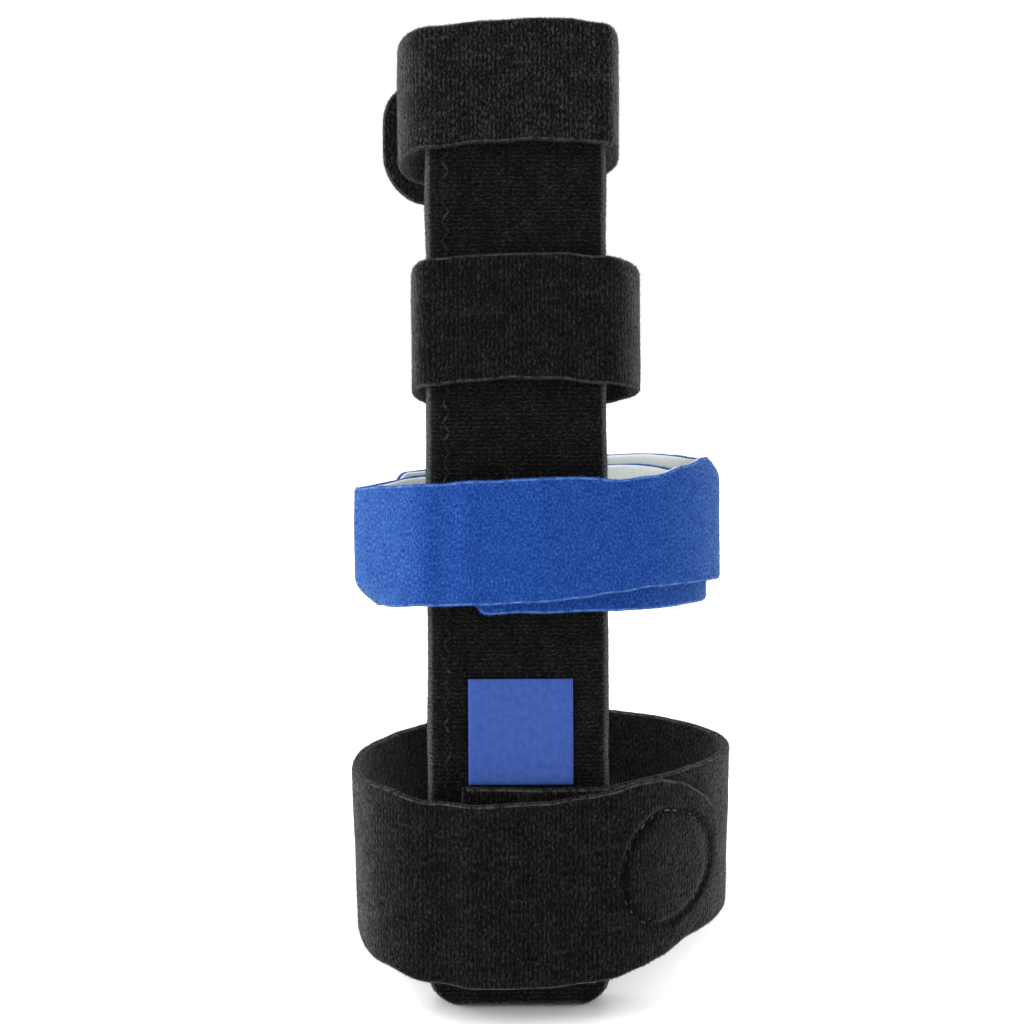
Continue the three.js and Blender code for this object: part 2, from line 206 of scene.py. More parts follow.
def loop_fabric(name, dark, mid, light, edge, loop_mm, sheen):
    """Brushed loops, (along, across) millimetres big, with painted shade where stitches press them into a
    groove.
    """
    material, tree, shader = new_finish(name, 0.95, sheen, "#c6cad0")
    uv = add(tree, "ShaderNodeUVMap", {"uv_map": "flat"})
    brush = add(
        tree, "ShaderNodeTexNoise", {"noise_dimensions": "2D"},
        Vector=uv, Scale=1 / BRUSHED["size"], Detail=3.0,
    )
    push = add(
        tree, "ShaderNodeVectorMath", {"operation": "SUBTRACT"},
        _0=brush.outputs["Color"], _1=(0.5, 0.5, 0.5),
    )
    pushed = add(
        tree, "ShaderNodeVectorMath", {"operation": "MULTIPLY_ADD"},
        _0=push, _1=(BRUSHED["push"], BRUSHED["push"], 0.0), _2=uv,
    )
    upright = loop_mm[0] < loop_mm[1]
    columns = add(
        tree, "ShaderNodeTexWave", {"wave_type": "BANDS", "bands_direction": "X" if upright else "Y"},
        Vector=pushed, Scale=WAVE_UNIT / (2 * min(loop_mm) * MM), Distortion=0.0,
    )
    loops = add(
        tree, "ShaderNodeVectorMath", {"operation": "DIVIDE"},
        _0=pushed, _1=(loop_mm[0] * MM, loop_mm[1] * MM, 1.0),
    )
    own = add(
        tree, "ShaderNodeTexNoise", {"noise_dimensions": "2D"},
        Vector=loops, Scale=1.1, Detail=3.0, Roughness=0.7,
    )
    crowns = add(tree, "ShaderNodeMapRange", Value=own, From_Min=0.25, From_Max=0.75, To_Max=0.7)
    patches = add(
        tree, "ShaderNodeTexNoise", {"noise_dimensions": "2D"},
        Vector=uv, Scale=1 / BRUSHED["patches"], Detail=3.0,
    )
    worn = add(tree, "ShaderNodeMath", {"operation": "MULTIPLY_ADD"}, _0=patches, _1=0.3, _2=crowns)
    tone = add(
        tree, "ShaderNodeMath", {"operation": "MULTIPLY_ADD"},
        _0=columns.outputs["Fac"], _1=0.16, _2=worn,
    )
    # painted shade: the ring's groove, where stitches press the pile down, is painted darker
    pressed = add(tree, "ShaderNodeAttribute", {"attribute_name": "pressed"}).outputs["Fac"]
    shade = add(tree, "ShaderNodeMath", {"operation": "MULTIPLY_ADD"}, _0=pressed, _1=-0.25, _2=tone)
    pile = add(tree, "ShaderNodeValToRGB", stops=[(0.27, dark), (0.58, mid), (0.92, light)], Fac=shade)
    # painted highlight: the pale rim line, mixed with the paler cut or stretched yarn
    edged = add(
        tree, "ShaderNodeMix", {"data_type": "RGBA"},
        _0=pale_yarn_and_rim_highlight(tree, uv, 0.8, 1.6 if upright else 0.5), _6=pile, _7=linear(edge),
    )
    glints = add(tree, "ShaderNodeMapRange", Value=tone, From_Min=0.3, From_Max=0.85, To_Max=2 * sheen)
    bump = add(tree, "ShaderNodeBump", Strength=0.6, Distance=PILE_HEIGHT, Height=tone)
    feed(tree, shader, Base_Color=edged.outputs[2], Sheen_Weight=glints, Normal=bump)
    return material


# the fourth colour is the pale rim line, partly cut or stretched yarn and partly a painted highlight
black_loop = loop_fabric(
    "black_loop_fabric", "#020202", "#0d0c0c", "#353232", "#464645", (0.45, 1.0), 0.36
)
# painted shade: a darker copy of the loop fabric for the two lower straps, which get less of the light
painted_shade_loop = loop_fabric(
    "black_loop_fabric_painted_shade", "#020202", "#0a0909", "#272424", "#464645", (0.45, 1.0), 0.34
)
# the knit's fourth colour is the grey-green pale band at the bar's rim, partly a painted highlight
black_knit = loop_fabric(
    "black_ribbed_knit", "#020202", "#080808", "#242221", "#464b49", (0.8, 0.42), 0.4
)
print("made", [m.name for m in (black_loop, painted_shade_loop, black_knit)])

# %% [markdown]
# The hand strap's face is brushed velour: the loops are opened into a soft nap of fibres that lie in
# small random swirls. There are no rows to see, only mottling about half a millimetre across, paler
# where the fibres stand up and catch the light, and wider, weaker patches where the nap is laid over.

# %% Blue velour
SWIRLS = {"size": 0.52 * MM, "stretch": (1.25, 0.8, 1.0)}
NAP_PATCHES = 3 * MM
NAP_HEIGHT = 0.2 * MM


def velour(name, dark, mid, light, edge):
    """Brushed nap in small swirls, with a paler cut edge and a painted highlight along its rim."""
    material, tree, shader = new_finish(name, 0.9, 0.9, "#aee0e6", sheen_roughness=0.6)
    uv = add(tree, "ShaderNodeUVMap", {"uv_map": "flat"})
    stretched = add(tree, "ShaderNodeMapping", Vector=uv, Scale=SWIRLS["stretch"])
    swirls = add(
        tree, "ShaderNodeTexNoise", Vector=stretched, Scale=1 / SWIRLS["size"], Detail=3.0, Roughness=0.65
    )
    patches = add(tree, "ShaderNodeTexNoise", Vector=uv, Scale=1 / NAP_PATCHES, Detail=2.0)
    both = add(tree, "ShaderNodeMath", {"operation": "MULTIPLY_ADD"}, _0=patches, _1=0.15, _2=swirls)
    nap = add(tree, "ShaderNodeValToRGB", stops=[(0.4, dark), (0.57, mid), (0.8, light)], Fac=both)
    # painted highlight: the pale rim line, mixed with the paler cut yarn
    edged = add(
        tree, "ShaderNodeMix", {"data_type": "RGBA"},
        _0=pale_yarn_and_rim_highlight(tree, uv, 0.6, 1.6), _6=nap, _7=linear(edge),
    )
    glints = add(tree, "ShaderNodeMapRange", Value=both, From_Min=0.42, From_Max=0.75, To_Max=0.36)
    bump = add(tree, "ShaderNodeBump", Strength=0.45, Distance=NAP_HEIGHT, Height=both)
    feed(tree, shader, Base_Color=edged.outputs[2], Sheen_Weight=glints, Normal=bump)
    return material


# the last colour is the pale rim line, partly cut yarn and partly a painted highlight
blue_velour = velour("blue_brushed_velour", "#092566", "#0d3177", "#214f97", "#6289c0")
print("made", blue_velour.name)

# %% [markdown]
# The hand strap's lining is open-celled foam, sliced thin. It is pale and matt, and the slice goes
# through its cells, so the face is a net of thin walls round pores half a millimetre across. The walls
# catch the light and the pores are painted a little greyer, as painted shade in the hollows.

# %% White foam
PORE = 0.55 * MM
PORE_DEPTH = 0.2 * MM


def foam(name, pore, skin):
    """Open-celled foam backing: pale and matt, with pores."""
    material, tree, shader = new_finish(name, 0.95, 0.15, "#ffffff")
    uv = add(tree, "ShaderNodeUVMap", {"uv_map": "flat"})
    cells = add(
        tree, "ShaderNodeTexVoronoi", {"voronoi_dimensions": "2D", "feature": "DISTANCE_TO_EDGE"},
        Vector=uv, Scale=1 / PORE, Randomness=1.0,
    )
    # painted shade: the pores are greyer than the walls
    shade = add(tree, "ShaderNodeValToRGB", stops=[(0.0, skin), (0.35, pore)], Fac=cells)
    bump = add(
        tree, "ShaderNodeBump", {"invert": True}, Strength=0.4, Distance=PORE_DEPTH, Height=cells
    )
    feed(tree, shader, Base_Color=shade, Normal=bump)
    return material


white_foam = foam("white_open_foam", "#b7bebc", "#d5d9d6")
print("made", white_foam.name)

# %% [markdown]
# The label is woven satin: long warp threads float over the weft, so it is smoother and shinier than
# the rest. The floats are drawn half a millimetre apart, twice as coarse as real ones, so that they
# show.

# %% Blue satin
FLOAT_PITCH = 0.5 * MM
UNEVEN_WEAVE = 1.5 * MM
FLOAT_HEIGHT = 0.08 * MM


def woven_satin(name, shade, warp):
    """Woven label: bright warp floats side by side, a little uneven."""
    material, tree, shader = new_finish(name, 0.45, 0.05, "#c8d2f2")
    uv = add(tree, "ShaderNodeUVMap", {"uv_map": "flat"})
    floats = add(
        tree, "ShaderNodeTexWave", {"wave_type": "BANDS", "bands_direction": "X"},
        Vector=uv, Scale=WAVE_UNIT / FLOAT_PITCH, Distortion=0.4, Detail=1.0,
    )
    uneven = add(tree, "ShaderNodeTexNoise", Vector=uv, Scale=1 / UNEVEN_WEAVE, Detail=3.0)
    both = add(
        tree, "ShaderNodeMath", {"operation": "MULTIPLY_ADD"},
        _0=floats.outputs["Fac"], _1=0.35, _2=uneven,
    )
    weave = add(tree, "ShaderNodeValToRGB", stops=[(0.3, shade), (0.95, warp)], Fac=both)
    bump = add(tree, "ShaderNodeBump", Strength=0.15, Distance=FLOAT_HEIGHT, Height=floats.outputs["Fac"])
    feed(tree, shader, Base_Color=weave, Normal=bump)
    return material


blue_satin = woven_satin("blue_woven_satin", "#283f80", "#385090")
print("made", blue_satin.name)

# %% [markdown]
# The hook tape is moulded nylon: a plain ground with rows of small hooks. It is hidden between the
# layers of the straps and only shows when the part is opened up, so dots in rows are enough.

# %% Black hook tape
HOOK_PITCH = 1.2 * MM
HOOK_HEIGHT = 0.3 * MM


def hook_tape(name, ground, hooks):
    """Moulded nylon hooks in rows on a plain ground."""
    material, tree, shader = new_finish(name, 0.55, 0.0, "#ffffff")
    place = add(tree, "ShaderNodeTexCoord").outputs["Object"]
    dots = add(tree, "ShaderNodeTexVoronoi", Vector=place, Scale=1 / HOOK_PITCH, Randomness=0.1)
    shade = add(tree, "ShaderNodeValToRGB", stops=[(0.2, hooks), (0.5, ground)], Fac=dots)
    bump = add(
        tree, "ShaderNodeBump", {"invert": True}, Strength=0.6, Distance=HOOK_HEIGHT, Height=dots
    )
    feed(tree, shader, Base_Color=shade, Normal=bump)
    return material


black_hook = hook_tape("black_hook_tape", "#0c0c0c", "#242424")
print("made", black_hook.name)

# %% [markdown]
# The seams are sewn with spun polyester thread. Where it is sunk in the pile it is painted dark, as
# painted shade, and where it comes up to the light it gets a painted highlight, so a noise decides from
# place to place. The thread of the wrist strap's ring is painted with brighter highlights than the bar's.

# %% Sewing thread


def yarn(name, stops, roughness, sheen, patches, detail):
    """Thread or fibre whose colour goes through the stops from place to place."""
    material, tree, shader = new_finish(name, roughness, sheen, "#ffffff")
    place = add(tree, "ShaderNodeTexCoord").outputs["Object"]
    uneven = add(tree, "ShaderNodeTexNoise", Vector=place, Scale=1 / patches, Detail=detail)
    shade = add(tree, "ShaderNodeValToRGB", stops=stops, Fac=uneven)
    feed(tree, shader, Base_Color=shade)
    return material


THREAD = {"roughness": 0.6, "sheen": 0.2, "patches": 2.2 * MM, "detail": 2.0}
black_thread = yarn("black_thread", [(0.5, "#060606"), (0.64, "#282826")], **THREAD)
# the ring's thread gets brighter painted highlights than the bar's
grey_thread = yarn("black_thread_brighter_highlights", [(0.5, "#080808"), (0.64, "#45443f")], **THREAD)
print("made", [m.name for m in (black_thread, grey_thread)])

# %% [markdown]
# A strap is cut from flat cloth: a long rectangle whose one end is square and the other rounded. A grid
# gives it rows and columns. They are set close together near the edges, so that the edge can be rounded
# like a padded one: the two faces are the same grid, one of them extruded from the other, and both fall
# to the middle of the thickness at the rim, where they are merged. Each point keeps its place in the
# cloth in the UV map. The small functions come first, because the bar is cut with them too.

# %% Grids with close rims
RIM = 1.1  # width of the rounded rim, in millimetres
RIM_STEPS = 4
END_STEPS = 14  # at a rounded end
SPACING = 1.2  # between rows and columns away from the edges


def spaced(length, spacing, first, last):
    """Places from 0 to length, closer at each end as first and last say."""
    middle = length - first[-1] - last[-1]
    steps = max(2, round(middle / spacing))
    inner = [first[-1] + middle * i / steps for i in range(1, steps)]
    return np.array([*first, *inner, *(length - place for place in reversed(last))])


def rim_places(width=RIM, steps=RIM_STEPS):
    """Places near an edge that follow a rounded rim, or near a rounded end, closer towards its tip."""
    return [width * (1 - math.cos(math.pi / 2 * i / steps)) for i in range(steps + 1)]


def grid_points(bm, columns, rows):
    """Fills a bmesh with a grid, and gives each point with its place in the columns and the rows."""
    bmesh.ops.create_grid(bm, x_segments=len(columns) - 1, y_segments=len(rows) - 1, size=0.5)
    for v in bm.verts:
        column = round((v.co.x + 0.5) * (len(columns) - 1))
        row = round((v.co.y + 0.5) * (len(rows) - 1))
        yield v, columns[column], rows[row]


def fix_order(bm, first=0):
    """Sorts the faces from the first on by their corners, where an operator has no fixed order for them."""
    bm.verts.index_update()
    bm.faces.index_update()
    count = len(bm.verts)

    def order(face):
        """A number that is the same in each run."""
        low, mid, high = sorted(v.index for v in face.verts)[:3]
        return face.index if face.index < first else first + (low * count + mid) * count + high

    bm.faces.sort(key=order)


def raise_copy(bm, axis, height):
    """Extrudes a second face from the first, at a height along the axis."""
    sides = 2 * len(bm.faces)  # the two faces come first, and their sides start at this number
    outer = bmesh.ops.extrude_face_region(bm, geom=bm.faces[:], use_keep_orig=True)
    for v in outer["geom"]:
        if isinstance(v, bmesh.types.BMVert):
            v.co[axis] = height
    fix_order(bm, sides)


def close_rim(bm, merged, flat_place):
    """Merges the two faces where they meet, and writes each point's place in the cloth to the UV map."""
    bmesh.ops.remove_doubles(bm, verts=bm.verts[:], dist=merged)
    bmesh.ops.recalc_face_normals(bm, faces=bm.faces[:])
    uv = bm.loops.layers.uv.new("flat")
    for face in bm.faces:
        for loop in face.loops:
            loop[uv].uv = flat_place(loop.vert)


print("a rim goes in by", [round(place, 2) for place in rim_places()])

# %% [markdown]
# With these a strap is cut in one go. A rounded end draws the rows in towards its tip, and a point's
# distance from the outline says how far the rim has closed there.

# %% Cutting a strap flat
MERGED = 1e-4  # points closer than this are one, in millimetres


def cut_flat(length, width, thick, start_radius=0.0, end_radius=0.0, spacing=SPACING):
    """A flat strap as a bmesh: X along it, Y across it, Z out of its inner face, all in millimetres."""

    def nearer_end(along):
        """The corner radius of the nearer end, and how far away that end is."""
        return (start_radius, along) if along < length / 2 else (end_radius, length - along)

    start_places = rim_places(start_radius, END_STEPS) if start_radius else rim_places()
    end_places = rim_places(end_radius, END_STEPS) if end_radius else rim_places()
    columns = spaced(length, spacing, start_places, end_places)
    rows = spaced(width, spacing, rim_places(), rim_places())
    bm = bmesh.new()
    for v, along, across in grid_points(bm, columns, rows):
        radius, left = nearer_end(along)
        into = max(0.0, radius - left)
        trim = radius - math.sqrt(max(0.0, radius**2 - into**2))
        v.co = (along, trim + across * (width - 2 * trim) / width, 0.0)
    raise_copy(bm, 2, thick)
    rim = bm.verts.layers.float.new("rim")
    for v in bm.verts:
        radius, left = nearer_end(v.co.x)
        inside = edge_distance(left, v.co.y, width, radius)
        share = min(1.0, max(0.0, inside) / RIM)
        # the rim share: the finish paints its pale line here, partly a painted highlight, and the nap grows
        # thicker
        v[rim] = max(0.0, 1.0 - inside / RIM) if v.co.x > RIM else 0.0
        v.co.z = thick / 2 + (v.co.z - thick / 2) * math.sqrt(1 - (1 - share) ** 2)
    close_rim(bm, MERGED, lambda v: (v.co.x * MM, v.co.y * MM))
    return bm


def edge_distance(left, across, width, radius):
    """How far inside a strap's outline a point lies, left millimetres from an end with such corners."""
    corner_x = radius - left
    corner_y = abs(across - width / 2) - (width / 2 - radius)
    if radius and corner_x > 0 and corner_y > 0:
        return radius - math.hypot(corner_x, corner_y)
    return min(left, across, width - across)


# %% [markdown]
# Now the winding. Seen from above, a strap's first layer is a loop: flat over the bar's front, then
# bent through a right side, a back and a left side. Four Bezier curves through those sides give the
# loop, and the two handle lengths at each side say how sharply it turns there. A second table gives
# what the strap does as it goes round: how far it stands off its first layer, how far its lower edge is
# lifted and how much wider it is. Besides, a strap sinks towards the back by its sag and climbs to the
# right by its roll, both per millimetre, its lower edge is drawn in by its taper, and from the turn
# called leave on it goes straight. These are the tables that the solids were made from, so the cloth
# lies where they are.

# %% What a strap's table holds
FRONT = -CLEARANCE
BEND = BAR["width"] / 2 - 1.5  # a strap is flat over the front up to here
Side = namedtuple("Side", "x y before after")
WIND = ("turn", "standoff", "lift", "widen")
Tuck = namedtuple("Tuck", "turn reach depth starts ends")
Strap = namedtuple(
    "Strap",
    "width thick end_radius low_z sag roll taper mirrored start leave end loop wind tucks",
)

# %% [markdown]
# The two finger straps are alike: each starts behind one side of the bar, goes over its front and
# round the finger, and closes on itself at the back. The lower one runs the other way round, so it is
# mirrored. The upper one's rounded end leaves its loop and stands out straight.

# %% The finger straps' tables
UPPER_FINGER = Strap(
    width=25.0, thick=1.8, end_radius=9.5, low_z=172.0, sag=0.15, roll=0.02, taper=0.0, mirrored=False,
    start=-0.24, leave=0.64, end=0.862,
    loop=[
        Side(BEND, FRONT, 0, 2), Side(19.6, 11, 6, 9), Side(-1, 29, 11, 11),
        Side(-22.6, 12, 9, 6), Side(-BEND, FRONT, 3, 0),
    ],
    wind=[
        (-0.1, 0, 0, -0.5), (0, 0, -0.3, -0.9), (0.09, 0, 0.5, -0.85), (0.17, 0, 0.75, -0.8),
        (0.22, 0, 0.4, -0.6), (0.28, 0, -0.3, -1), (0.44, 0, 0, -1), (0.62, 3.1, -0.9, 0.8),
        (0.78, 3.1, -0.9, 1.7), (0.862, 3.1, -0.1, 2.8),
    ],
    tucks=[],
)

LOWER_FINGER = Strap(
    width=25.0, thick=1.8, end_radius=9.0, low_z=125.3, sag=0.19, roll=-0.025, taper=0.0, mirrored=True,
    start=-0.3, leave=math.inf, end=0.8,
    loop=[
        Side(BEND, FRONT, 0, 2), Side(19.8, 11, 6, 9), Side(1, 29, 11, 11),
        Side(-24, 12, 9, 6), Side(-BEND, FRONT, 3, 0),
    ],
    wind=[
        (-0.15, 0, -0.6, 0), (0, 0, -1.2, 0.4), (0.07, 0, 0.1, 0), (0.155, 0, 0.4, -0.2),
        (0.22, 0, 0, 0.1), (0.275, 0, -0.6, 0.15), (0.42, 0, 0, 0), (0.6, 3.1, 0, 0),
        (0.8, 3.1, -0.6, 0),
    ],
    tucks=[],
)
print("the finger straps end at turn", UPPER_FINGER.end, "and", LOWER_FINGER.end)

# %% [markdown]
# The hand strap goes round one and three quarter times, so its table has the most rows. In two places
# one of its edges is drawn in: the lower edge at the left of the bar and the upper edge at its right.
# Those are its tucks.

# %% The hand strap's table
HAND = Strap(
    width=24.6, thick=1.0, end_radius=3.0, low_z=79.0, sag=0.0, roll=0.0, taper=0.0, mirrored=False,
    start=0.045, leave=math.inf, end=1.784,
    loop=[
        Side(BEND, FRONT, 0, 12), Side(37.6, 15, 5, 8), Side(6, 42, 22, 20),
        Side(-32, 17, 6, 3), Side(-BEND, FRONT, 3, 0),
    ],
    wind=[
        (0, 0, 0, 0), (0.1, 0, 0.5, 0), (0.2, 0, 0.9, 0), (0.342, 0, 1.2, 0), (0.473, 0, 3.8, 0),
        (0.623, 0, 3, 0), (0.744, 0, 1.6, 0), (0.865, 0.4, -0.1, -0.3), (0.935, 0.5, 0.9, -0.5),
        (1, 0.7, 2.05, -0.95), (1.045, 2.9, 2.5, -0.75), (1.121, 4.1, 3.2, -0.85),
        (1.161, 3.9, 3.85, -1.35), (1.201, 3.5, 5, -3), (1.231, 3.4, 5.7, -3.2),
        (1.272, 3.2, 5.9, -1.5), (1.312, 3, 5.85, 0), (1.362, 2.7, 5.4, 0), (1.473, 3.4, 6.2, 0),
        (1.623, 3.4, 4.6, 0), (1.784, 3.4, 2.4, 0),
    ],
    tucks=[Tuck(0.865, 0.05, 4.6, 0.24, 0), Tuck(1.352, 0.06, 2.4, 0.82, 1)],
)
print("the hand strap ends at turn", HAND.end)

# %% [markdown]
# The wrist strap is the widest. It starts on the bar's front, goes round once and lies over the front
# again, with a large rounded end at the right. Its lower edge is drawn in a little behind the bar, so
# its loop narrows downwards.

# %% The wrist strap's table
WRIST = Strap(
    width=35.0, thick=2.0, end_radius=16.5, low_z=9.8, sag=0.01, roll=0.0, taper=1.2, mirrored=False,
    start=0.022, leave=math.inf, end=1.262,
    loop=[
        Side(BEND, FRONT, 0, 5), Side(45.8, 35, 15, 13), Side(5, 70.5, 23, 20),
        Side(-34, 28, 18, 14), Side(-BEND, FRONT, 8, 0),
    ],
    wind=[
        (0, 0, 0, 0), (0.11, 0, 0, -0.3), (0.18, 0, -0.1, 0.5), (0.26, 0, -0.6, 0.9),
        (0.4, 0, 0, 1), (0.84, 0, -0.6, 0), (0.965, 2.6, -0.7, 0.4), (1, 3, -2.2, 0.35),
        (1.035, 5, -2.75, 0.7), (1.09, 3.9, -3, 1.2), (1.127, 3.4, -2.2, 1.55),
        (1.16, 3.4, -0.5, 1.6), (1.18, 3.4, 0.2, 0.7), (1.205, 3.4, 1.4, -1.9),
        (1.23, 3.4, 1.6, -3.2), (1.262, 3.4, 1.5, -2),
    ],
    tucks=[],
)
print("the wrist strap ends at turn", WRIST.end)

# %% [markdown]
# The winding itself takes points of the cloth by their turn round the bar, their place across the strap
# and their height out of its inner face, and gives their places in the upright frame. It works on whole
# arrays, because a strap has many thousands of points. Wound down the middle of a ply, it also gives
# the length that the ply is cut to.

# %% Winding
HEADINGS = [Vector((x, y, 0)) for x, y in ((1, 0), (0, 1), (-1, 0), (0, -1), (1, 0))]
FRONT_STEPS = 48
CURVE_POINTS = 121
TURN_POINTS = 1500
TAPER_REACH = 15.0  # how far behind the bar's front a strap is drawn in fully, in millimetres


def loop_line(strap):
    """The loop seen from above as many close points, and the length along it at each of them."""
    sides = [Vector((side.x, side.y, 0)) for side in strap.loop]
    line = [sides[-1].lerp(sides[0], i / FRONT_STEPS) for i in range(FRONT_STEPS + 1)]
    for i in range(1, len(sides)):
        leaving = sides[i - 1] + HEADINGS[i - 1] * strap.loop[i - 1].after
        arriving = sides[i] - HEADINGS[i] * strap.loop[i].before
        line += interpolate_bezier(sides[i - 1], leaving, arriving, sides[i], CURVE_POINTS)[1:]
    points = np.array([p.to_2d() for p in line])
    steps = np.linalg.norm(np.diff(points, axis=0), axis=1)
    return points, np.concatenate([[0.0], np.cumsum(steps)])


def smooth_share(value, low, high):
    """How far a value has come from low to high, eased at both ends."""
    share = np.clip((value - low) / (high - low), 0.0, 1.0)
    return share * share * (3 - 2 * share)


def along_wind(strap, turn, column):
    """A column of the strap's table at each turn, eased from row to row."""
    table = np.array(strap.wind)
    turns = table[:, 0]
    values = table[:, WIND.index(column)]
    row = np.clip(np.searchsorted(turns, turn) - 1, 0, len(turns) - 2)
    share = smooth_share(turn, turns[row], turns[row + 1])
    return values[row] + (values[row + 1] - values[row]) * share


def wound(strap, turn, across, out):
    """Places round the upright bar of a strap's points: their turns, and millimetres across and out."""
    points, reached = loop_line(strap)
    total = reached[-1]
    headings = np.gradient(points, reached, axis=0)
    held = np.minimum(turn, strap.leave)
    place = (held % 1.0) * total
    foot = np.stack([np.interp(place, reached, points[:, i]) for i in (0, 1)], axis=1)
    ahead = np.stack([np.interp(place, reached, headings[:, i]) for i in (0, 1)], axis=1)
    ahead /= np.linalg.norm(ahead, axis=1, keepdims=True)
    away = np.stack([ahead[:, 1], -ahead[:, 0]], axis=1)
    depth = foot[:, 1].copy()
    foot += away * along_wind(strap, turn, "standoff")[:, None]
    foot += ahead * ((turn - held) * total)[:, None]
    low = strap.low_z + along_wind(strap, turn, "lift")
    low += strap.roll * foot[:, 0] - strap.sag * np.maximum(foot[:, 1], 0)
    row = across / strap.width
    drawn_in = strap.taper * (1 - row) * smooth_share(depth, 0.0, TAPER_REACH)
    for tuck in strap.tucks:
        beside = np.exp(-(((turn - tuck.turn) / tuck.reach) ** 2))
        share = np.clip((row - tuck.starts) / (tuck.ends - tuck.starts), 0, 1)
        drawn_in += tuck.depth * beside * share**2
    foot += away * (out - drawn_in)[:, None]
    height = low + row * (strap.width + along_wind(strap, turn, "widen"))
    side = -1 if strap.mirrored else 1
    return np.stack([foot[:, 0] * side, foot[:, 1], height], axis=1)


def measured_turns(strap, offset=0.0):
    """Many turns of a ply that lies offset millimetres out, and the length of cloth that each has used."""
    turns = np.linspace(strap.start, strap.end, TURN_POINTS)
    middle = np.full_like(turns, strap.width / 2)
    line = wound(strap, turns, middle, np.full_like(turns, offset + strap.thick / 2))
    steps = np.linalg.norm(np.diff(line, axis=0), axis=1)
    return turns, np.concatenate([[0.0], np.cumsum(steps)])


for strap in (UPPER_FINGER, LOWER_FINGER, HAND, WRIST):
    print("a strap", round(measured_turns(strap)[1][-1], 1), "mm long and", strap.width, "mm wide")

# %% [markdown]
# A strap that lies perfectly true looks like plastic. So before it is wound, a soft noise moves the
# cloth in and out by a tenth of a millimetre or two and lets its edges wander a little. The wrist
# strap's end also has a stitched ring: the stitches draw the cloth in along an oval, so the outer face
# has a groove there, and its finish paints the groove darker as painted shade.

# %% Making the straps
flat_sizes = {}
WANDER = {"size": 11.0, "height": 0.14}
EDGING = {"size": 6.0, "reach": 0.15, "far_edge": 90.0, "seed": 5}
RING = {"to_end": 17.1, "along": 12.8, "across": 11.4, "depth": 0.7, "width": 0.75}
RING_SPACING = 0.6  # close enough for the ring's groove


def soft_noise(x, y, size, seed):
    """A smooth noise, about -1 to 1, whose bumps are size millimetres apart."""
    return noise.noise(Vector((x / size, y / size, seed)))


def make_strap(
    node, strap, material, seed, offset=0.0, spacing=SPACING, start_radius=0.0, ring=None, proud=0.0
):
    """Cuts a strap, lets its cloth wander, winds it and makes it the piece that stands for its solid."""
    turns, used = measured_turns(strap, offset)
    bm = cut_flat(used[-1], strap.width, strap.thick, start_radius, strap.end_radius, spacing)
    along, across, out = np.array([v.co for v in bm.verts]).T
    wander = np.array([soft_noise(x, y, WANDER["size"], seed) for x, y in zip(along, across)])
    edges = np.where(across < strap.width / 2, 0.0, EDGING["far_edge"])
    edge_seed = seed + EDGING["seed"]
    edging = np.array([soft_noise(x, y, EDGING["size"], edge_seed) for x, y in zip(along, edges)])
    if ring:
        off_along = (along - (used[-1] - ring["to_end"])) / ring["along"]
        off_across = (across - strap.width / 2) / ring["across"]
        off = (np.hypot(off_along, off_across) - 1) * ring["across"]
        drawn = np.exp(-((off / ring["width"]) ** 2)) * (out > strap.thick / 2)
        # the groove's share, which the finish paints darker as painted shade
        pressed = bm.verts.layers.float.new("pressed")
        for v, share in zip(bm.verts, drawn):
            v[pressed] = share
        out = out - ring["depth"] * drawn
    across = across + EDGING["reach"] * edging + proud * (2 * across / strap.width - 1)
    out = out + offset + WANDER["height"] * wander
    places = wound(strap, np.interp(along, used, turns), across, out)
    for v, place in zip(bm.verts, places):
        v.co = place
    if strap.mirrored:
        bmesh.ops.reverse_faces(bm, faces=bm.faces[:])
    cloth = finish_piece(node + "_cloth", bm, [material], node)
    flat_sizes[cloth] = (strap.width * MM, used[-1] * MM)
    return cloth


upper_finger_strap = make_strap("upper_finger_strap", UPPER_FINGER, black_loop, seed=1.0)
lower_finger_strap = make_strap("lower_finger_strap", LOWER_FINGER, painted_shade_loop, seed=2.0)
wrist_strap = make_strap(
    "wrist_strap", WRIST, painted_shade_loop, seed=3.0, spacing=RING_SPACING, ring=RING
)

# %% [markdown]
# The hand strap is two plies: a white foam lining against the hand and the blue velour over it. Both
# are cut to the same width and wound by the same table, the velour one ply further out and so a little
# longer. Its nap stands a quarter of a millimetre proud of the cut, so a blue line shows along the edge
# of the foam.

# %% The hand strap's two plies
PLY_GAP = 0.15
NAP_PROUD = 0.25
START_RADIUS = 3.0
PLY_SPACING = 1.0

make_strap(
    "hand_strap_lining", HAND, white_foam,
    spacing=PLY_SPACING, start_radius=START_RADIUS, seed=4.0,
)
hand_strap_face = make_strap(
    "hand_strap_face", HAND, blue_velour,
    spacing=PLY_SPACING, start_radius=START_RADIUS, seed=4.0,
    offset=HAND.thick + PLY_GAP, proud=NAP_PROUD,
)

# %% [markdown]
# The bar is a sleeve of ribbed knit over foam. It is cut like a strap, but both of its ends are rounded
# and its edge is as round as its padding: the two faces fall together over a rim of a few millimetres.
# The knit goes round that rim, so its UV map is measured along the rounding and not straight through
# it. Where the rim turns to the side the knit is stretched and paler, and that pale band is also a
# painted highlight of the side lights. Between the straps it bulges a little. The bar's lower end is
# soft, so the floor presses it flat.

# %% The padded bar
BAR_RIM_STEPS = 9
BULGE = {"least": 0.18, "noise": 0.3, "size": 12.0, "seed": 8.0}
SWELL = {"height": 0.12, "size": 14.0, "seed": 7.0}
# RIM_FADE spreads the pale band, stretched knit and painted highlight, further onto the faces
RIM_FADE = 0.6  # less than 1, so the stretched knit reaches further onto the faces
BAR_MERGED = 0.02  # the bar's two faces are closer than this at the rim, in millimetres

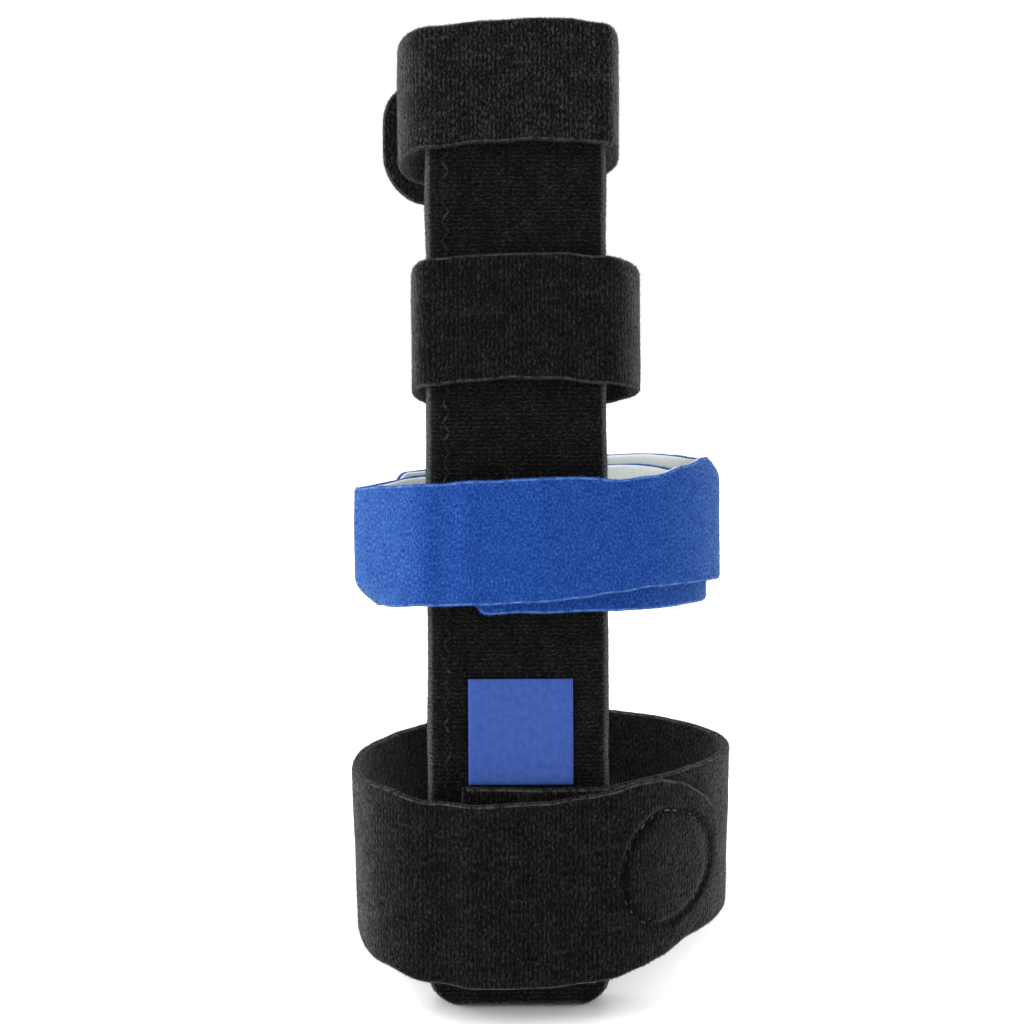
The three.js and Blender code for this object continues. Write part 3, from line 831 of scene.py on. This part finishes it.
turned = np.linspace(0.0, math.pi / 2, 91)
rim_steps = np.hypot(BAR["edge"] * np.cos(turned), BAR["thick"] / 2 * np.sin(turned))
rim_lengths = np.concatenate([[0.0], np.cumsum((rim_steps[1:] + rim_steps[:-1]) / 2 * np.diff(turned))])


def rim_turn(inside):
    """The angle that the rim has turned from the face towards the side, some way inside the outline."""
    return math.asin(1 - min(BAR["edge"], max(0.0, inside)) / BAR["edge"])


def unrolled(place, inside):
    """A place across the bar, moved out by what the knit needs to go round the rim."""
    angle = rim_turn(inside)
    extra = np.interp(angle, turned, rim_lengths) - BAR["edge"] * math.sin(angle)
    return place + math.copysign(extra, place)


def bar_half_width(z):
    """Half the bar's width at a height, rounded with an ellipse at both ends."""
    near = min(z, BAR["length"] - z)
    into = max(0.0, 1 - near / BAR["corner_z"])
    return BAR["width"] / 2 - BAR["corner_x"] * (1 - math.sqrt(max(0.0, 1 - into**2)))


def make_bar():
    """The sleeve: two faces that fall together over the rim, with the knit unrolled into the UV map."""
    edge = rim_places(BAR["edge"], BAR_RIM_STEPS)
    columns = spaced(BAR["width"], SPACING, edge, edge)
    rows = spaced(BAR["length"], SPACING, edge, edge)
    bm = bmesh.new()
    for v, from_left, z in grid_points(bm, columns, rows):
        x = from_left - BAR["width"] / 2
        v.co = (x * bar_half_width(z) / (BAR["width"] / 2), 0.0, z)
    raise_copy(bm, 1, BAR["thick"])
    half = BAR["thick"] / 2
    rim = bm.verts.layers.float.new("rim")
    knit = {}
    for v in bm.verts:
        x, y, z = v.co
        beside = bar_half_width(z) - abs(x)
        beyond = min(z, BAR["length"] - z)
        up = z - BAR["length"] / 2
        knit[v] = (unrolled(x, beside) * MM, unrolled(up, beyond) * MM)
        # the rim share: the finish paints the pale band here, stretched knit and a painted highlight of the
        # side light
        v[rim] = (rim_turn(beside) / (math.pi / 2)) ** RIM_FADE
        uneven = BULGE["noise"] * soft_noise(x, z, BULGE["size"], BULGE["seed"])
        bulge = math.sin(rim_turn(beside)) * (BULGE["least"] + uneven)
        swell = SWELL["height"] * soft_noise(x, z, SWELL["size"], SWELL["seed"])
        depth = math.cos(rim_turn(min(beside, beyond))) * (1 + swell / half)
        v.co = (x + math.copysign(bulge, x), half + (y - half) * depth, z)
    close_rim(bm, BAR_MERGED, knit.get)
    return finish_piece("padded_sleeve", bm, [black_knit], "padded_bar")


padded_bar = make_bar()

# %% [markdown]
# The label is a small square of woven satin sewn flat on the bar. It is bare. It is cut like a strap
# with square ends, and a faint noise keeps it from lying as flat as a plate.

# %% The label
LABEL_WAVE = {"height": 0.06, "size": 7.0, "seed": 9.0}
LABEL_SPACING = 1.0


def make_label():
    """The label, cut flat and stood against the bar's front."""
    bm = cut_flat(LABEL["width"], LABEL["height"], LABEL["thick"], spacing=LABEL_SPACING)
    for v in bm.verts:
        x, z, out = v.co
        lift = LABEL_WAVE["height"] * soft_noise(x, z, LABEL_WAVE["size"], LABEL_WAVE["seed"])
        v.co = (x - LABEL["width"] / 2 + LABEL["centre_x"], -CLEARANCE - out - lift, z + LABEL["low_z"])
    bmesh.ops.recalc_face_normals(bm, faces=bm.faces[:])
    return finish_piece("woven_label", bm, [blue_satin], "label")


label = make_label()

# %% [markdown]
# A seam runs down the left of the bar's front, a zigzag of black thread that closes the sleeve. Each
# stitch is a small ellipsoid, laid along the thread and half sunk into the knit. The ring on the wrist
# strap has the same stitches, one after another in its groove, so both are made by one function from
# pairs of end points.

# %% Stitches
ZIGZAG = {"x": -14.0, "y": -0.1, "swing": 0.65, "pitch": 2.0, "low": 7.0, "high": 188.0}
THREAD_RADIUS = 0.22


def make_stitches(name, ends, ups, thread):
    """A stitch between each pair of end points, with the direction out of the cloth for each of them."""
    bm = bmesh.new()
    for (a, b), up in zip(ends, ups):
        a, b = Vector(a), Vector(b)
        along = (b - a).normalized()
        side = Vector(up).cross(along).normalized()
        out = along.cross(side)
        axes = Matrix((side, out, along)).transposed().to_4x4()
        size = Matrix.Diagonal((THREAD_RADIUS, THREAD_RADIUS, (b - a).length / 2, 1.0))
        place = Matrix.Translation((a + b) / 2) @ axes @ size
        bmesh.ops.create_uvsphere(bm, u_segments=8, v_segments=6, radius=1.0, matrix=place)
    fix_order(bm)
    return finish_piece(name, bm, [thread], None)


heights = np.arange(ZIGZAG["low"], ZIGZAG["high"], ZIGZAG["pitch"])
zigzag = [(ZIGZAG["x"] + ZIGZAG["swing"] * (-1) ** i, ZIGZAG["y"], z) for i, z in enumerate(heights)]
make_stitches(
    "bar_seam", list(zip(zigzag, zigzag[1:])), [(0, -1, 0)] * (len(zigzag) - 1), black_thread
)

# %% [markdown]
# The ring's stitches are placed in the flat cloth, on the same oval as its groove, and wound with the
# strap. Each covers about two thirds of its share of the oval, so the gaps between them show.

# %% The stitched ring
RING_STITCHES = 34
HALF_STITCH = 0.34  # as a share of the way from one stitch to the next
THREAD_SHOWS = 0.1  # how far the thread's middle is above the groove's bottom, in millimetres

ring_turns, ring_used = measured_turns(WRIST)


def ring_places(step, out):
    """Places on the stitched ring, step of a stitch further round, out millimetres from the inner face."""
    angles = (np.arange(RING_STITCHES) + step) * 2 * math.pi / RING_STITCHES
    along = ring_used[-1] - RING["to_end"] + RING["along"] * np.cos(angles)
    across = WRIST.width / 2 + RING["across"] * np.sin(angles)
    return wound(WRIST, np.interp(along, ring_used, ring_turns), across, np.full_like(along, out))


sunk = WRIST.thick - RING["depth"] + THREAD_SHOWS
ring_ends = list(zip(ring_places(-HALF_STITCH, sunk), ring_places(HALF_STITCH, sunk)))
ring_ups = list(ring_places(0.0, sunk + 1.0) - ring_places(0.0, sunk))
ring_seam = make_stitches("ring_seam", ring_ends, ring_ups, grey_thread)

# %% [markdown]
# Pile is more than a relief: at the strap's outline single fibres stand out against the light. Geometry
# Nodes scatter thin pointed fibres over a copy of each strap, lean them at random, and make them one
# real mesh, so nothing is left to work out when the part is used. A seed keeps them the same each time.

# %% The nap's node group
RIM_GROWTH = 8.0  # how many times more fibres there are at a cut edge
FIBRE_LEAN = 1.05  # the most that a fibre leans either way, in radians
FULL_TURN = 6.28
FIBRE_SCALE = (0.4, 1.1)  # from the shortest fibre to the longest
FLOOR_CORNER = (-1.0, -1.0, 0.0)  # far outside the part in X and Y, so only Z is held up


def nap_nodes():
    """A node group that grows fibres from a mesh: density, length, thickness and seed are its inputs."""
    tree = bpy.data.node_groups.new("nap", "GeometryNodeTree")
    tree.interface.new_socket("Geometry", in_out="INPUT", socket_type="NodeSocketGeometry")
    for name, kind in (("Density", "Float"), ("Length", "Float"), ("Radius", "Float"), ("Seed", "Int")):
        tree.interface.new_socket(name, in_out="INPUT", socket_type=f"NodeSocket{kind}")
    tree.interface.new_socket("Geometry", in_out="OUTPUT", socket_type="NodeSocketGeometry")
    source = add(tree, "NodeGroupInput")
    rim = add(tree, "GeometryNodeInputNamedAttribute", {"data_type": "FLOAT"}, Name="rim")
    more = add(tree, "ShaderNodeMath", {"operation": "MULTIPLY_ADD"}, _0=rim, _1=RIM_GROWTH, _2=1.0)
    density = add(
        tree, "ShaderNodeMath", {"operation": "MULTIPLY"}, _0=more, _1=source.outputs["Density"]
    )
    roots = add(
        tree, "GeometryNodeDistributePointsOnFaces",
        Mesh=source.outputs["Geometry"], Density=density, Seed=source.outputs["Seed"],
    )
    fibre = add(
        tree, "GeometryNodeMeshCone", {"fill_type": "NGON"},
        Vertices=3, Side_Segments=1, Fill_Segments=1, Radius_Top=0.0,
        Radius_Bottom=source.outputs["Radius"], Depth=source.outputs["Length"],
    )
    tilt = add(
        tree, "FunctionNodeRandomValue", {"data_type": "FLOAT_VECTOR"},
        Min=(-FIBRE_LEAN, -FIBRE_LEAN, 0.0), Max=(FIBRE_LEAN, FIBRE_LEAN, FULL_TURN),
    )
    leaning = add(
        tree, "FunctionNodeRotateRotation", {"rotation_space": "LOCAL"},
        Rotation=roots.outputs["Rotation"], Rotate_By=tilt,
    )
    size = add(
        tree, "FunctionNodeRandomValue", {"data_type": "FLOAT"}, _2=FIBRE_SCALE[0], _3=FIBRE_SCALE[1]
    )
    grown = add(
        tree, "GeometryNodeInstanceOnPoints",
        Points=roots, Instance=fibre,
        Rotation=leaning, Scale=size.outputs[1],
    )
    real = add(tree, "GeometryNodeRealizeInstances", Geometry=grown)
    place = add(tree, "GeometryNodeInputPosition")
    floor_level = add(tree, "ShaderNodeVectorMath", {"operation": "MAXIMUM"}, _0=place, _1=FLOOR_CORNER)
    pressed = add(tree, "GeometryNodeSetPosition", Geometry=real, Position=floor_level)
    add(tree, "NodeGroupOutput", Geometry=pressed)
    return tree


nap_group = nap_nodes()
print("the nap's group has", len(nap_group.nodes), "nodes")

# %% [markdown]
# The group grows on a copy of the strap's mesh, and its result takes the place of that copy. The count
# of fibres is for the strap without the thicker growth at its cut edges.

# %% From a strap to its nap


def grow_nap(cloth, fibres, size_mm, material, seed):
    """Fibres of a (length, radius) over a cloth piece, as a piece of their own."""
    name = cloth.name + "_nap"
    nap = bpy.data.objects.new(name, cloth.data.copy())
    bpy.context.collection.objects.link(nap)
    area = sum(face.area for face in nap.data.polygons)
    grower = nap.modifiers.new("grow", "NODES")
    grower.node_group = nap_group
    sockets = nap_group.interface.items_tree
    inputs = {item.name: item.identifier for item in sockets if item.in_out == "INPUT"}
    grower[inputs["Density"]] = fibres / area
    grower[inputs["Length"]] = size_mm[0] * MM
    grower[inputs["Radius"]] = size_mm[1] * MM
    grower[inputs["Seed"]] = seed
    depsgraph = bpy.context.evaluated_depsgraph_get()
    grown = bpy.data.meshes.new_from_object(nap.evaluated_get(depsgraph))
    nap.modifiers.clear()
    nap.data = grown
    grown.name = name
    grown.materials.clear()
    grown.materials.append(material)
    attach(nap, "root")
    print(name, len(grown.polygons), "faces")
    return nap


# %% [markdown]
# A fibre is half a millimetre long and, at its root, a tenth of a millimetre thick. That is thicker
# than a real one, so that it shows. Its finish is that of a nylon filament, a little lighter than the
# pile that it stands in because the light gets behind it.

# %% Growing the nap
FIBRE = {"roughness": 0.7, "sheen": 0.3, "patches": 1.2 * MM, "detail": 1.0}
black_fibre = yarn("black_nylon_fibre", [(0.35, "#0a0a0a"), (0.65, "#2f2e30")], **FIBRE)
blue_fibre = yarn("blue_nylon_fibre", [(0.35, "#1a3c88"), (0.65, "#4069b8")], **FIBRE)
PILE_SIZE = (0.55, 0.05)
KNIT_SIZE = (0.45, 0.045)

upper_nap = grow_nap(upper_finger_strap, 12000, PILE_SIZE, black_fibre, seed=1)
lower_nap = grow_nap(lower_finger_strap, 12000, PILE_SIZE, black_fibre, seed=2)
hand_nap = grow_nap(hand_strap_face, 18000, PILE_SIZE, blue_fibre, seed=3)
wrist_nap = grow_nap(wrist_strap, 24000, PILE_SIZE, black_fibre, seed=4)
grow_nap(padded_bar, 14000, KNIT_SIZE, black_fibre, seed=5)

# %% [markdown]
# The hook patches stay as the solids that they are, hidden between the layers, and only get their
# finish. Each strap's flat size, the one that it was cut to, is kept in a table by its piece.

# %% The hook patches' finish
for hook in ("upper_finger_hook", "lower_finger_hook", "hand_hook", "wrist_hook"):
    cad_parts[hook].data.materials.clear()
    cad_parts[hook].data.materials.append(black_hook)

sewn_on = {
    upper_finger_strap: [upper_nap],
    lower_finger_strap: [lower_nap],
    hand_strap_face: [hand_nap],
    wrist_strap: [wrist_nap, ring_seam],
}
for cloth, size in flat_sizes.items():
    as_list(sewn_on.get(cloth, []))
print("sheets:", [cloth.name for cloth in flat_sizes], label.name)

# %% [markdown]
# The stage is a pale floor under a white sky. The floor is large, so that its far edge is lost in the
# sky's white.

# %% Floor and sky
FLOOR_HALF = 20.0
SKY_STRENGTH = 1.06

scene = bpy.context.scene
scene.view_settings.view_transform = "Standard"

floor_mesh = bpy.data.meshes.new("floor")
floor_bm = bmesh.new()
bmesh.ops.create_grid(floor_bm, x_segments=1, y_segments=1, size=FLOOR_HALF)
floor_bm.to_mesh(floor_mesh)
floor_bm.free()
floor_finish, floor_tree, floor_shader = new_finish("pale_floor", 0.6, 0.0, "#ffffff")
feed(floor_tree, floor_shader, Base_Color=linear("#fafafa"))
floor_mesh.materials.append(floor_finish)
floor = bpy.data.objects.new("floor", floor_mesh)
scene.collection.objects.link(floor)

world = bpy.data.worlds.new("white_sky")
world.use_nodes = True
background = world.node_tree.nodes["Background"]
feed(world.node_tree, background, Color=linear("#ffffff"), Strength=SKY_STRENGTH)
scene.world = world
print("made", floor.name, "and", world.name)

# %% [markdown]
# A large soft light stands on the left, a weaker one on the right, one behind and one overhead, so that
# the black cloth keeps its outline. Places and sizes are in metres, power is in watts.

# %% Lights
Light = namedtuple("Light", "name place aim size power")
LIGHTS = [
    Light("key_left", (-0.9, 0.0, 0.5), (0, 0, 0.12), 1.0, 17.0),
    Light("fill_right", (0.9, 0.1, 0.4), (0, 0, 0.1), 1.0, 5.0),
    Light("behind", (0.1, 0.7, 0.7), (0, 0, 0.1), 1.0, 1.5),
    Light("overhead", (0.0, 0.1, 1.3), (0, 0.05, 0.0), 1.4, 8.0),
]
for light in LIGHTS:
    lamp = bpy.data.lights.new(light.name, "AREA")
    lamp.size = light.size
    lamp.energy = light.power
    holder = bpy.data.objects.new(light.name, lamp)
    holder.location = light.place
    holder.rotation_euler = (Vector(light.aim) - Vector(light.place)).to_track_quat("-Z", "Y").to_euler()
    scene.collection.objects.link(holder)
    print("light", light.name, light.power, "W")

# %% [markdown]
# The photograph was taken square to the bar's front, so the camera is placed in the upright bar's own
# frame, in millimetres, and leans with it. Its lens is shifted down, as the picture is framed lower than
# the camera's own horizon.

# %% Camera
IMAGE = 1024  # pixels
SENSOR = 36.0
NEAREST = 0.01
CAMERA = {
    "focal_px": 1257.0, "distance": 250.0, "eye_z": 115.3, "x": -0.93, "horizon_px": 431.0, "roll_deg": -0.3
}
camera_data = bpy.data.cameras.new("camera")
camera_data.sensor_width = SENSOR
camera_data.lens = CAMERA["focal_px"] * camera_data.sensor_width / IMAGE
camera_data.shift_y = (CAMERA["horizon_px"] - IMAGE / 2) / IMAGE
camera_data.clip_start = NEAREST
camera = bpy.data.objects.new("camera", camera_data)
level = Matrix.Rotation(-LEAN, 4, "X") @ Matrix.Rotation(math.pi / 2, 4, "X")
camera.matrix_world = (
    Matrix.Translation(stand @ Vector((CAMERA["x"], -CAMERA["distance"], CAMERA["eye_z"])))
    @ level
    @ Matrix.Rotation(math.radians(CAMERA["roll_deg"]), 4, "Z")
)
scene.collection.objects.link(camera)
scene.camera = camera
print("camera at", [round(c, 4) for c in camera.matrix_world.translation])
